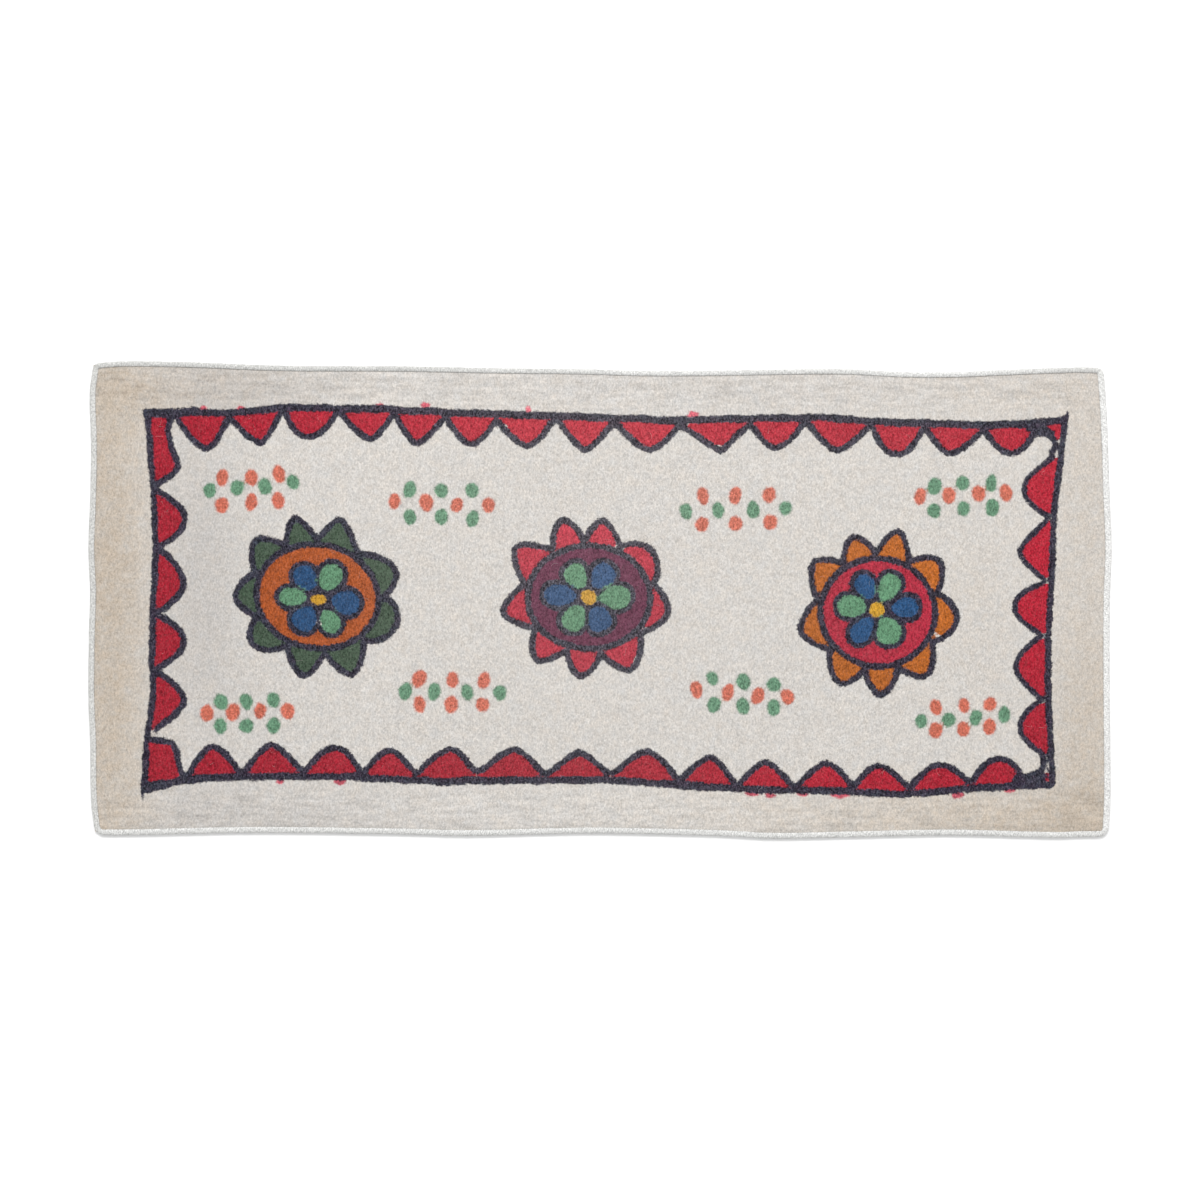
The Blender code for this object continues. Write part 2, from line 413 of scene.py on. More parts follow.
print("strokes so far:", len(strokes), "filled figures:", len(pools))

# %% [markdown]
# ### Rosettes
# Each rosette is an oval disc with nine outer petals, and on the disc six egg-shaped petals round a yellow
# heart. A petal is two curves from a notch up to its tip and down to the next notch. The handles of the
# curves make a tip sharp or blunt, so a row of three numbers describes a petal: angle, reach, bluntness.

# %% Tools for curved figures
chance = random.Random(31)


def bend_curve(start, first, second, end):
    """Points along a curve with two handles."""
    share = np.linspace(0, 1, 11)[:, None]
    rest = 1 - share
    return rest**3 * start + 3 * rest**2 * share * first + 3 * rest * share**2 * second + share**3 * end


def egg(x, y, turn_deg, half_length, half_width, wide_end=0.0, lumpy=0.05, count=22):
    """A closed oval of points in mm, turned, wider at its far end and a little lumpy."""
    angle = np.linspace(0, 2 * np.pi, count, endpoint=False)
    size = np.ones(count)
    for waves in (2, 3, 4, 5):
        size += lumpy * chance.uniform(0.2, 1) / waves**0.5 * np.cos(waves * angle + chance.uniform(0, 6.3))
    lengthways = half_length * size * np.cos(angle)
    sideways = half_width * size * np.sin(angle) * (1 + wide_end * np.cos(angle))
    turn = math.radians(turn_deg)
    egg_x = x + lengthways * math.cos(turn) - sideways * math.sin(turn)
    egg_y = y + lengthways * math.sin(turn) + sideways * math.cos(turn)
    return np.column_stack((egg_x, egg_y))


def towards(angle_deg):
    """The direction at an angle from +X."""
    return np.array((math.cos(math.radians(angle_deg)), math.sin(math.radians(angle_deg))))


print("an egg has", len(egg(0, 0, 0, 20, 15)), "points")

# %% Outer petals and discs
NOTCH_RISE = 6.5
PETAL_HALF = 4.8
# Disc: middle, half sizes and turn. Petals: angle in degrees, reach of the line's middle in mm, bluntness
# from 0 to 1. Inner petals: angle, distance from the heart, half length and half width
ROSETTES = (
    {
        "disc": (-414, 5, 90, 76, -11, "orange"),
        "petal_dye": "dark_green",
        "petals": (
            (-144, 118, 0.6), (-100, 118, 0.4), (-66, 125, 0.4), (-19, 123, 0.8), (18, 121, 0.5),
            (74, 118, 0.2), (106, 120, 0.3), (138, 122, 0.5), (180, 120, 0.5),
        ),
        "heart": (-412, 1, 11, 8),
        "inner": (
            (122, 36, 19, 16, "blue"), (62, 36, 21, 16, "green"), (-7, 39, 21, 17, "blue"),
            (-63, 36, 18, 14, "green"), (-126, 35, 19, 17, "blue"), (175, 38, 20, 13, "green"),
        ),
    },
    {
        "disc": (-16, 4, 90, 76, -1, "plum"),
        "petal_dye": "rose_red",
        "petals": (
            (-170, 128, 0.3), (-130, 120, 0.4), (-96, 116, 0.5), (-60, 122, 0.5), (-11, 118, 0.4),
            (36, 114, 0.7), (80, 114, 0.4), (109, 120, 0.5), (146, 130, 0.4),
        ),
        "heart": (-16, 4, 12, 11),
        "inner": (
            (122, 36, 19, 16, "green"), (57, 36, 20, 17, "blue"), (0, 38, 22, 17, "green"),
            (-65, 35, 19, 17, "blue"), (-126, 37, 20, 17, "green"), (176, 42, 24, 15, "blue"),
        ),
    },
    {
        "disc": (407, -18, 84, 79, -5, "disc_red"),
        "petal_dye": "amber",
        "petals": (
            (-166, 116, 0.4), (-118, 118, 0.5), (-88, 121, 0.5), (-52, 117, 0.4), (-5, 116, 0.6),
            (40, 117, 0.5), (76, 122, 0.4), (108, 116, 0.5), (142, 119, 0.4),
        ),
        "heart": (406, -14, 11, 11),
        "inner": (
            (117, 37, 19, 14, "blue"), (62, 36, 21, 15, "green"), (4, 41, 19, 15, "blue"),
            (-62, 35, 20, 18, "green"), (-126, 37, 21, 14, "blue"), (173, 37, 21, 16, "green"),
        ),
    },
)


def disc_point(disc, angle_deg, extra):
    """A point of a disc's line at an angle, moved outwards."""
    x, y, half_x, half_y, turn_deg, _ = disc
    way = towards(angle_deg)
    local = towards(angle_deg - turn_deg)
    radius = 1 / math.hypot(local[0] / half_x, local[1] / half_y)
    return np.array((x, y)) + way * (radius + extra)


def draw_petal(disc, before, petal, after, dye):
    """One outer petal from notch to notch, and the wool inside it."""
    angle, reach, blunt = petal
    start_angle = (before + angle) / 2
    end_angle = (angle + after) / 2
    tip = np.array(disc[:2]) + towards(angle) * reach
    halves = []
    for notch_angle in (start_angle, end_angle):
        notch = disc_point(disc, notch_angle, NOTCH_RISE)
        level = towards(angle + 90)
        width = np.dot(notch - tip, level)
        rise = np.dot(tip - notch, towards(angle))
        chord = (tip - notch) / np.hypot(*(tip - notch))
        swell = blunt * towards(notch_angle) + (1 - blunt) * chord
        first = notch + swell * rise * (0.25 + 0.35 * blunt)
        second = tip + level * width * (0.12 + 0.6 * blunt)
        halves.append(bend_curve(notch, first, second, tip))
    curve = np.vstack((halves[0], halves[1][::-1][1:]))
    strokes.append((curve, PETAL_HALF))
    back = [disc_point(disc, a, 0) for a in np.linspace(end_angle, start_angle, 9)]
    pools.append((np.vstack((curve, back)), dye, 1.0))


carved = []
rings = []
for rosette in ROSETTES:
    disc = rosette["disc"]
    petals = rosette["petals"]
    for index, petal in enumerate(petals):
        before = petals[index - 1][0] - (360 if index == 0 else 0)
        after = petals[(index + 1) % len(petals)][0] + (360 if index == len(petals) - 1 else 0)
        draw_petal(disc, before, petal, after, rosette["petal_dye"])
    circle = egg(disc[0], disc[1], disc[4], disc[2], disc[3], lumpy=0.008, count=60)
    strokes.append((np.vstack((circle, circle[:1])), PETAL_HALF))
    pools.append((circle, disc[5], 1.0))
print("strokes:", len(strokes), "filled figures:", len(pools))

# %% Inner petals and hearts
RING_WIDTH = 7.8
HEART_RING = 23.0

for rosette in ROSETTES:
    x, y, half_x, half_y = rosette["heart"]
    heart = egg(x, y, 0, half_x, half_y, lumpy=0.04)
    carved.append((heart, "yellow", 0.8))
    rings.append((egg(x, y, 0, HEART_RING, HEART_RING, lumpy=0.02), 0.0))
    for angle, distance, half_length, half_width, dye in rosette["inner"]:
        centre = np.array((x, y)) + towards(angle) * distance
        figure = egg(centre[0], centre[1], angle, half_length, half_width, wide_end=0.2, lumpy=0.04)
        carved.append((figure, dye, 0.8))
        rings.append((figure, RING_WIDTH))
print("inner figures:", len(carved))

# %% [markdown]
# ### Dots
# Between the rosettes and the scallops stand eight clusters of ten dots: a middle row of four in one
# colour, and between them three pairs in the other. They are pinches of wool pressed down by hand, so each
# is a little off its place and its own size.

# %% Dot clusters: middle x, middle y, pitch, tilt in degrees, half gap of a pair, drop of the pairs, colours
DOT_CLUSTERS = (
    (-512, 166, 41, 5.5, 19, 4, "dot_green", "dot_orange"),
    (-232, 142, 46, -1.5, 19, 1, "dot_orange", "dot_green"),
    (199, 132, 49, 1.5, 20, 0, "dot_green", "dot_orange"),
    (532, 154, 42, 2.5, 18, 2, "dot_orange", "dot_green"),
    (-517, -164, 39, 1.5, 18, 2, "dot_orange", "dot_green"),
    (-217, -135, 47, -1, 18, 0, "dot_green", "dot_orange"),
    (209, -138, 44, -5, 18, 0, "dot_orange", "dot_green"),
    (532, -173, 40, 4, 17, -1, "dot_green", "dot_orange"),
)
DOT_HALF_X = 9.9
DOT_HALF_Y = 12.3


def draw_dot(x, y, dye):
    """One pinch of wool, off its place by a millimetre or two."""
    x += chance.gauss(0, 1.0)
    y += chance.gauss(0, 1.0)
    half_x = DOT_HALF_X * chance.uniform(0.88, 1.1)
    half_y = DOT_HALF_Y * chance.uniform(0.88, 1.1)
    pools.append((egg(x, y, chance.uniform(-20, 20), half_x, half_y, lumpy=0.06, count=16), dye, 2.2))


for x, y, pitch, tilt_deg, gap, drop, row_dye, pair_dye in DOT_CLUSTERS:
    lean = math.tan(math.radians(tilt_deg))
    for step in (-1.5, -0.5, 0.5, 1.5):
        draw_dot(x + step * pitch, y + step * pitch * lean, row_dye)
    for step in (-1, 0, 1):
        draw_dot(x + step * pitch, y + step * pitch * lean - drop + gap, pair_dye)
        draw_dot(x + step * pitch, y + step * pitch * lean - drop - gap, pair_dye)
print("filled figures with dots:", len(pools))

# %% Slips of the hand: wool that strayed past the line, and slivers left bare
STRAYED = (
    (-582, 278, 7, 7), (-527, 279, 7, 6), (-322, 284, 6, 5), (-256, 285, 8, 5), (-105, 277, 4, 7),
    (136, 271, 10, 5), (-469, -265, 6, 5), (-381, -266, 11, 5), (222, -283, 11, 5),
    (249, -285, 8, 5), (297, -283, 10, 5), (352, -285, 15, 6), (524, -285, 10, 6),
    (601, -276, 8, 8), (-500, 273, 8, 5),
)
# Bare slivers: x, y, reach and depth in mm
BARE = (
    (92, 47, 7, 8), (54, -88, 7, 8), (29, 78, 8, 8), (66, -42, 5, 8), (-412, -35, 4, 5), (494, -50, 6, 9),
    (669, 221, 4, 9), (670, 214, 4, 9), (671, 229, 4, 8), (659, 123, 4, 9), (655, 29, 4, 9), (650, -54, 4, 9),
    (649, -149, 4, 7), (656, -232, 4, 9), (656, -241, 4, 9), (656, -250, 3, 7),
    (174, 226, 6, 7), (113, 259, 5, 7), (128, 258, 4, 7), (-137, 256, 5, 7), (-467, 275, 4, 6),
    (-342, 270, 4, 5), (-60, 258, 4, 6), (-12, 235, 4, 6), (303, 254, 5, 6), (392, 246, 4, 5),
)
for x, y, half_x, half_y in STRAYED:
    pools.append((egg(x, y, 0, half_x, half_y, lumpy=0.2, count=12), "strayed_red", 1.6))
print("strayed pinches:", len(STRAYED), "bare slivers:", len(BARE))

# %% [markdown]
# ### From figures to numbers on the net
# The depth inside a figure is the distance to its nearest edge, with the sign of inside or outside. Each
# figure is measured only on the points of the net near it, so the whole drawing takes a few seconds.

# %% Measuring the figures
FAR = -16.0
# How far round a line, a ring and a filled figure its points are measured
NEAR_LINE = 20
NEAR_RING = 26
NEAR_FIGURE = 14


def near(points, margin):
    """Which points of the net lie near a figure."""
    low = points.min(axis=0) - margin
    high = points.max(axis=0) + margin
    return np.nonzero((net_x > low[0]) & (net_x < high[0]) & (net_y > low[1]) & (net_y < high[1]))[0]


def edge_distance(line, x, y):
    """Distance in mm from places to a line of points."""
    nearest = np.full(x.shape, 1e6)
    for (start_x, start_y), (end_x, end_y) in zip(line[:-1], line[1:]):
        run_x = end_x - start_x
        run_y = end_y - start_y
        share = ((x - start_x) * run_x + (y - start_y) * run_y) / max(run_x**2 + run_y**2, 1e-9)
        share = np.clip(share, 0, 1)
        nearest = np.minimum(nearest, np.hypot(x - start_x - share * run_x, y - start_y - share * run_y))
    return nearest


def depth_inside(figure, x, y):
    """How deep places lie inside a closed figure, in mm, and negative outside it."""
    closed = np.vstack((figure, figure[:1]))
    is_inside = np.zeros(x.shape, bool)
    for (start_x, start_y), (end_x, end_y) in zip(closed[:-1], closed[1:]):
        if start_y == end_y:
            continue
        crosses = (start_y > y) != (end_y > y)
        meets = start_x + (y - start_y) * (end_x - start_x) / (end_y - start_y)
        is_inside ^= crosses & (x < meets)
    return np.where(is_inside, 1, -1) * edge_distance(closed, x, y)


ink = np.full(net_x.shape, FAR)
for line, half_width in strokes:
    some = near(line, NEAR_LINE)
    ink[some] = np.maximum(ink[some], half_width - edge_distance(line, net_x[some], net_y[some]))
for figure, width in rings:
    some = near(figure, NEAR_RING)
    ink[some] = np.maximum(ink[some], width + depth_inside(figure, net_x[some], net_y[some]))
print("points in dark wool:", int((ink > 0).sum()))

# %% Dyes, as they look in the light of the photograph
LIGHT = 1.25


def wool(red, green, blue):
    """The wool's own colour, from the one seen on a scale of 255 under the lamp."""
    seen = np.array((red, green, blue)) / 255
    linear = np.where(seen <= 0.04045, seen / 12.92, ((seen + 0.055) / 1.055) ** 2.4)
    return tuple(linear / LIGHT)


DYES = {
    "red": wool(164, 6, 38),
    "rose_red": wool(180, 20, 52),
    "disc_red": wool(168, 24, 52),
    "strayed_red": wool(196, 84, 100),
    "orange": wool(170, 78, 20),
    "amber": wool(174, 92, 18),
    "dark_green": wool(59, 81, 62),
    "plum": wool(94, 4, 58),
    "blue": wool(14, 70, 116),
    "green": wool(90, 139, 105),
    "yellow": wool(196, 146, 30),
    "dot_orange": wool(207, 109, 87),
    "dot_green": wool(100, 145, 115),
}
NAVY = wool(34, 33, 50)
CREAM = wool(224, 219, 213)

pool = np.full(net_x.shape, FAR)
soft = np.full(net_x.shape, 1.0)
dye = np.tile(np.array(CREAM), (len(net_x), 1))
can_be_fresh = np.zeros(net_x.shape)
# Where dye is fresher: x, y, half length, half width, strength. The last patch takes some back at the left
FRESH = (
    (0, 250, 480, 170, 0.37), (640, 60, 260, 220, 0.30), (330, -250, 200, 90, 0.20),
    (-640, -20, 60, 160, -0.15),
)


def patches(rows):
    """The sum of soft patches over the net."""
    total = np.zeros(net_x.shape)
    for x, y, half_x, half_y, strength in rows:
        total += strength * np.exp(-(((net_x - x) / half_x) ** 2) - ((net_y - y) / half_y) ** 2)
    return np.clip(total, 0, 1.0)


for figures, cuts_ink in ((pools, False), (carved, True)):
    for figure, name, softness in figures:
        some = near(figure, NEAR_FIGURE)
        depth = depth_inside(figure, net_x[some], net_y[some])
        if cuts_ink:
            ink[some] = np.minimum(ink[some], -depth)
            wins = depth > -4.5
            pool[some[wins]] = np.maximum(depth[wins], 2.5)
        else:
            wins = depth > pool[some]
            pool[some[wins]] = depth[wins]
        dye[some[wins]] = DYES[name]
        can_be_fresh[some[wins]] = not name.startswith("dot")
        soft[some[wins]] = softness
for x, y, reach, depth in BARE:
    pool -= depth * np.exp(-((net_x - x) ** 2 + (net_y - y) ** 2) / reach**2)
dye *= 1 + (patches(FRESH) * can_be_fresh)[:, None]
print("points in dyed wool:", int((pool > 0).sum()))

# %% [markdown]
# ### What use and light have done to the ground
# The cream wool isn't one colour. Its border is tanned at the ends and greyer towards the left, and round
# the middle the dyes look milky, because loose cream hair lies over them. The grey also carries painted
# light: painted shade along the far strip and painted light along the near strip, in place of a change to
# the lamp. Each is a soft patch with a place, a size and a strength. Painting them by hand would give the
# same, but it couldn't be read here.

# %% Patches: x, y, half length, half width, strength
TANNED = (
    (-722, 0, 66, 800, 0.95), (-659, 296, 70, 34, 0.30), (-560, 316, 150, 42, 0.30),
    (520, -318, 300, 46, 0.60), (715, -210, 62, 190, 0.72), (712, 190, 58, 200, 0.36),
    (640, -330, 120, 60, 0.30), (600, 310, 150, 50, 0.20), (560, -20, 60, 160, 0.15),
)
# Grey and painted light: the rows at y 312 paint shade along the far strip, and the negative rows near y -310
# paint light along the near strip
GREY_AND_PAINTED_SHADE = (
    (0, 0, 4000, 4000, 0.18), (-430, -314, 140, 44, 0.50), (-560, 312, 110, 44, 0.55),
    (-454, 311, 70, 30, 0.30), (-585, 40, 56, 250, 0.75), (-590, -314, 70, 44, 0.42),
    (0, 312, 900, 30, 0.22), (330, 312, 200, 40, 0.10), (60, -308, 220, 30, -0.20),
    (400, -314, 300, 30, -0.12), (-720, 60, 50, 200, 0.15), (-520, -60, 120, 260, 0.20),
)
MILKY = ((-15, 88, 297, 339, 0.066), (440, 230, 220, 120, 0.025))

tanned = patches(TANNED)
greyed = patches(GREY_AND_PAINTED_SHADE)
milky = patches(MILKY)
streaky = np.interp(abs(net_y), (272, 292), (0.2, 1.0))
print("strongest tan, grey and milk:", [values.max().round(3) for values in (tanned, greyed, milky)])

# %% The sheet as an object
net_points = np.column_stack((net_x, net_y, height)) * MM
for vert, point in zip(sheet_bm.verts, net_points):
    vert.co = point
number = sheet_bm.verts.layers.int.new("number")
for index, vert in enumerate(sheet_bm.verts):
    vert[number] = index + 1


def pull_rim(bm, edges, sides, z):
    """Extrudes the sheet's rim and lays the new rim along the given sides, at a height in mm."""
    made = bmesh.ops.extrude_edge_only(bm, edges=edges)["geom"]
    for vert in (item for item in made if isinstance(item, bmesh.types.BMVert)):
        source = vert[number] - 1
        x, y = spread(share_s[source], share_t[source], sides)
        vert.co = (x * MM, y * MM, z * MM)
    return [item for item in made if isinstance(item, bmesh.types.BMEdge)]


# The rim's way down, in and down to the floor: the sides it follows and its height in mm
RIM_STEPS = ((hidden_sides, 1.8), (under_sides, 1.6), (under_sides, 0))
rim = [edge for edge in sheet_bm.edges if edge.is_boundary]
for sides, z in RIM_STEPS:
    rim = pull_rim(sheet_bm, rim, sides, z)
back = bmesh.ops.contextual_create(sheet_bm, geom=rim)["faces"]
bmesh.ops.recalc_face_normals(sheet_bm, faces=sheet_bm.faces)
numbers = np.array([vert[number] - 1 for vert in sheet_bm.verts])
is_top = np.arange(len(numbers)) < len(net_x)
felt_mesh = bpy.data.meshes.new("felt_sheet")
sheet_bm.to_mesh(felt_mesh)
sheet_bm.free()
felt_mesh.shade_smooth()
felt_mesh.set_sharp_from_angle(angle=math.radians(50))
felt_sheet = put("felt_sheet", felt_mesh)
print("felt sheet faces:", len(felt_mesh.polygons), "back faces:", len(back))

# %% The drawing's numbers on the mesh
def keep(mesh, name, values):
    """Stores one number for each point of a mesh."""
    layer = mesh.attributes.new(name, "FLOAT", "POINT")
    layer.data.foreach_set("value", values.astype(np.float32))


# The last column is what the back and the rim get
for name, values, blank in (
    ("ink", ink, FAR),
    ("pool", pool, FAR),
    ("soft", soft, 1.0),
    ("tanned", tanned, 0.25),
    ("greyed", greyed, 0.2),
    ("milky", milky, 0.0),
    ("streaky", streaky, 0.3),
):
    keep(felt_mesh, name, np.where(is_top, values[numbers], blank))
dye_layer = felt_mesh.attributes.new("dye", "FLOAT_COLOR", "POINT")
dye_values = np.column_stack((dye[numbers], np.ones(len(numbers))))
dye_layer.data.foreach_set("color", dye_values.astype(np.float32).ravel())
print("numbers on the mesh:", [layer.name for layer in felt_mesh.attributes if layer.name.islower()])

# %% [markdown]
# ## Wool as a material
# Felt has no weave. Close up it is a mat of fine curled fibres, from afar a fleck of lighter and darker
# tufts. Three effects come back in several places, so each is a node group: the fleck of wool, thin strands
# at an angle, and the hairy edge that turns a depth in mm into a mask.
#
# All of them read Object coordinates, which are metres on this rug, so a scale of 450 is a tuft of 2.2 mm.

# %% Helpers for nodes
def feed(tree, socket, value):
    """Links a socket to another, or sets it to a number, a place or a colour."""
    if isinstance(value, bpy.types.NodeSocket):
        tree.links.new(value, socket)
    elif socket.type == "RGBA":
        socket.default_value = (*value, 1)
    else:
        socket.default_value = value


def add(tree, kind, **settings):
    """A new node. Names in small letters are its own settings, those with a capital are its inputs."""
    node = tree.nodes.new(kind)
    for name, value in settings.items():
        if name.islower():
            setattr(node, name, value)
        else:
            feed(tree, node.inputs[name.replace("_", " ")], value)
    return node


def maths(tree, operation, *values, kind="ShaderNodeMath"):
    """A Math node on sockets or plain numbers, and its output."""
    node = add(tree, kind, operation=operation)
    for socket, value in zip(node.inputs, values):
        feed(tree, socket, value)
    return node.outputs[0]


def place_maths(tree, operation, first, second):
    """The same for places: sockets or plain x, y and z."""
    return maths(tree, operation, first, second, kind="ShaderNodeVectorMath")


def blend(tree, share, first, second, mode="MIX"):
    """A colour mix of sockets or plain colours, and its output."""
    node = add(tree, "ShaderNodeMix", data_type="RGBA", blend_type=mode)
    for index, value in ((0, share), (6, first), (7, second)):
        feed(tree, node.inputs[index], value)
    return node.outputs[2]


def shaded(tree, colour, amount):
    """A colour made darker or lighter by a number, where 1 leaves it as it is."""
    grey = add(tree, "ShaderNodeCombineColor", Red=amount, Green=amount, Blue=amount)
    return blend(tree, 1.0, colour, grey.outputs[0], "MULTIPLY")


def stored(tree, name, output="Fac"):
    """The number or colour that a mesh keeps under a name."""
    return add(tree, "ShaderNodeAttribute", attribute_name=name).outputs[output]


def object_place(tree):
    """The place on the object, in metres."""
    return add(tree, "ShaderNodeTexCoord").outputs["Object"]


def roughen(tree, shader, strands, height, strength, depth):
    """Gives a shader the relief of strands and tufts."""
    relief = maths(tree, "MULTIPLY_ADD", strands, 0.8, height)
    bump = add(tree, "ShaderNodeBump", Strength=strength, Distance=depth, Height=relief)
    feed(tree, shader.inputs["Normal"], bump.outputs[0])


def new_group(name, inputs, outputs):
    """An empty node group that takes a place and named numbers, with its sockets inside."""
    group = bpy.data.node_groups.new(name, "ShaderNodeTree")
    group.interface.new_socket("Place", in_out="INPUT", socket_type="NodeSocketVector")
    for label, value in inputs.items():
        socket = group.interface.new_socket(label, in_out="INPUT", socket_type="NodeSocketFloat")
        socket.default_value = value
    for label in outputs:
        group.interface.new_socket(label, in_out="OUTPUT", socket_type="NodeSocketFloat")
    return group, group.nodes.new("NodeGroupInput").outputs, group.nodes.new("NodeGroupOutput").inputs


def use_group(tree, group, place, **values):
    """A node group placed in a tree, with its place and its values set."""
    return add(tree, "ShaderNodeGroup", node_tree=group, Place=place, **values)


def fleck(tree, place, scale, detail, shift=0.0):
    """Noise round nought, mostly between -1 and 1, moved to a place of its own."""
    moved = place_maths(tree, "ADD", place, (shift, shift * 0.7, shift * 0.3))
    texture = add(tree, "ShaderNodeTexNoise", Vector=moved, Scale=scale, Detail=detail, Roughness=0.6)
    return maths(tree, "MULTIPLY_ADD", texture.outputs[0], 4.0, -2.0)


print("node helpers ready")

# %% Group: the fleck of wool
wool_fleck, given, result = new_group(
    "wool_fleck", {"Tuft": 0.1, "Cloud": 0.05}, ("Shade", "Warmth", "Height")
)
upright = place_maths(wool_fleck, "MULTIPLY", given["Place"], (1.0, 0.65, 1.0))
tufts = fleck(wool_fleck, upright, 460, 1.0)
specks = fleck(wool_fleck, given["Place"], 950, 1.0, 3.1)
clouds = fleck(wool_fleck, given["Place"], 60, 3.0, 5.7)
both = maths(wool_fleck, "MULTIPLY_ADD", specks, 0.9, tufts)
tuft_part = maths(wool_fleck, "MULTIPLY", both, given["Tuft"])
cloud_part = maths(wool_fleck, "MULTIPLY", clouds, given["Cloud"])
total = maths(wool_fleck, "ADD", tuft_part, cloud_part)
warm = fleck(wool_fleck, given["Place"], 110, 2.0, 8.3)
warm_cloud = fleck(wool_fleck, given["Place"], 35, 2.0, 2.2)
warm_both = maths(wool_fleck, "MULTIPLY_ADD", warm_cloud, 0.5, warm)
feed(wool_fleck, result["Shade"], maths(wool_fleck, "ADD", total, 1.0))
feed(wool_fleck, result["Warmth"], maths(wool_fleck, "MULTIPLY_ADD", warm_both, 0.35, 0.5))
feed(wool_fleck, result["Height"], both)
print("wool_fleck nodes:", len(wool_fleck.nodes))

# %% Group: thin strands at an angle
wool_strands, given, result = new_group(
    "wool_strands", {"Turn": 0.0, "Shift": 0.0, "Thin": 45.0, "Size": 1.0}, ("Mask",)
)
spin = add(wool_strands, "ShaderNodeVectorRotate", rotation_type="Z_AXIS", Vector=given["Place"])
feed(wool_strands, spin.inputs["Angle"], given["Turn"])
stretch = place_maths(wool_strands, "MULTIPLY", spin.outputs[0], (260, 900, 900))
sized = place_maths(wool_strands, "MULTIPLY", stretch, given["Size"])
moved = place_maths(wool_strands, "ADD", sized, given["Shift"])
texture = add(wool_strands, "ShaderNodeTexNoise", Vector=moved, Scale=1.0, Detail=1.0, Distortion=1.4)
off = maths(wool_strands, "ABSOLUTE", maths(wool_strands, "SUBTRACT", texture.outputs[0], 0.5))
thin = maths(wool_strands, "MULTIPLY", off, given["Thin"])
mask = maths(wool_strands, "SUBTRACT", 1.0, thin)
feed(wool_strands, result["Mask"], maths(wool_strands, "MAXIMUM", mask, 0.0))
print("wool_strands nodes:", len(wool_strands.nodes))

# %% Group: the hairy edge
hairy_edge, given, result = new_group(
    "hairy_edge", {"Depth": 0.0, "Wander": 0.6, "Rag": 0.8, "Hair": 0.8, "Soft": 1.0}, ("Mask",)
)
depth = given["Depth"]
for name, scale, detail, shift in (("Wander", 55, 1.0, 1.3), ("Rag", 210, 1.0, 4.4), ("Hair", 700, 2.0, 6.1)):
    ragged = fleck(hairy_edge, given["Place"], scale, detail, shift)
    depth = maths(hairy_edge, "MULTIPLY_ADD", ragged, given[name], depth)
step = add(hairy_edge, "ShaderNodeMapRange", interpolation_type="SMOOTHSTEP", Value=depth)
feed(hairy_edge, step.inputs["From Min"], maths(hairy_edge, "MULTIPLY", given["Soft"], -1.0))
feed(hairy_edge, step.inputs["From Max"], given["Soft"])
feed(hairy_edge, result["Mask"], step.outputs[0])
print("hairy_edge nodes:", len(hairy_edge.nodes))

# %% [markdown]
# ### Felt material
# The ground comes first: cream with fleck, tanned and made greyer where the patches say, with painted shade
# along the far strip and painted light along the near strip. Dyed wool goes over it, then the dark wool.
# Through both, thin pale strands of the ground show, because the layers felt into each other. The milky hair
# comes last. Wool has no gloss, only a soft sheen at a low angle.

# %% Ground and dyed wool
# What tan, and grey with painted shade, do to the ground, as shares of each colour
TAN_TINT = (0.84, 0.765, 0.675)
GREY_AND_SHADE_TINT = (0.83, 0.83, 0.84)
# How far dyed wool covers the ground
COVER = 0.985

felt_wool, shader = new_material(
    "felted_wool", Roughness=0.95, Specular_IOR_Level=0.04, Sheen_Weight=0.02, Sheen_Roughness=0.5
)
tree = felt_wool.node_tree
place = object_place(tree)
grain = use_group(tree, wool_fleck, place, Tuft=0.20, Cloud=0.03).outputs
warm_cream = tuple(np.array(CREAM) * (1.03, 1.0, 0.965))
cool_cream = tuple(np.array(CREAM) * (0.97, 1.0, 1.035))
ground = blend(tree, grain["Warmth"], cool_cream, warm_cream)
patchy = maths(tree, "MULTIPLY_ADD", grain["Warmth"], 0.6, 0.7)
tan_share = maths(tree, "MULTIPLY", stored(tree, "tanned"), patchy)
ground = blend(tree, tan_share, ground, TAN_TINT, "MULTIPLY")
# Greyer ground, with painted shade along the far strip and painted light along the near strip
ground = blend(tree, stored(tree, "greyed"), ground, GREY_AND_SHADE_TINT, "MULTIPLY")

strands = 0.0
for turn, shift in ((0.3, 0.0), (1.4, 21.0), (2.5, 47.0)):
    strand = use_group(tree, wool_strands, place, Turn=turn, Shift=shift).outputs[0]
    strands = maths(tree, "MAXIMUM", strands, strand)
locks = use_group(tree, wool_strands, place, Turn=0.9, Shift=65.0, Thin=20.0, Size=0.5).outputs[0]
dark_locks = use_group(tree, wool_strands, place, Turn=1.9, Shift=83.0, Thin=22.0, Size=0.45).outputs[0]


def pale_fibre(strand_share, lock_share):
    """How much pale wool shows through, from thin strands and thicker locks."""
    from_locks = maths(tree, "MULTIPLY", locks, lock_share)
    return maths(tree, "MULTIPLY_ADD", strands, strand_share, from_locks)


def wool_mask(name, **values):
    """Where dyed wool lies, from the depth that the mesh keeps under a name."""
    return use_group(tree, hairy_edge, place, Depth=stored(tree, name), **values).outputs[0]


dyed = blend(tree, pale_fibre(0.035, 0.03), stored(tree, "dye", "Color"), CREAM)
pool_mask = wool_mask("pool", Wander=0.5, Rag=0.9, Hair=1.3, Soft=stored(tree, "soft"))
colour = blend(tree, maths(tree, "MULTIPLY", pool_mask, COVER), ground, dyed)
print("nodes for ground and dyed wool:", len(tree.nodes))

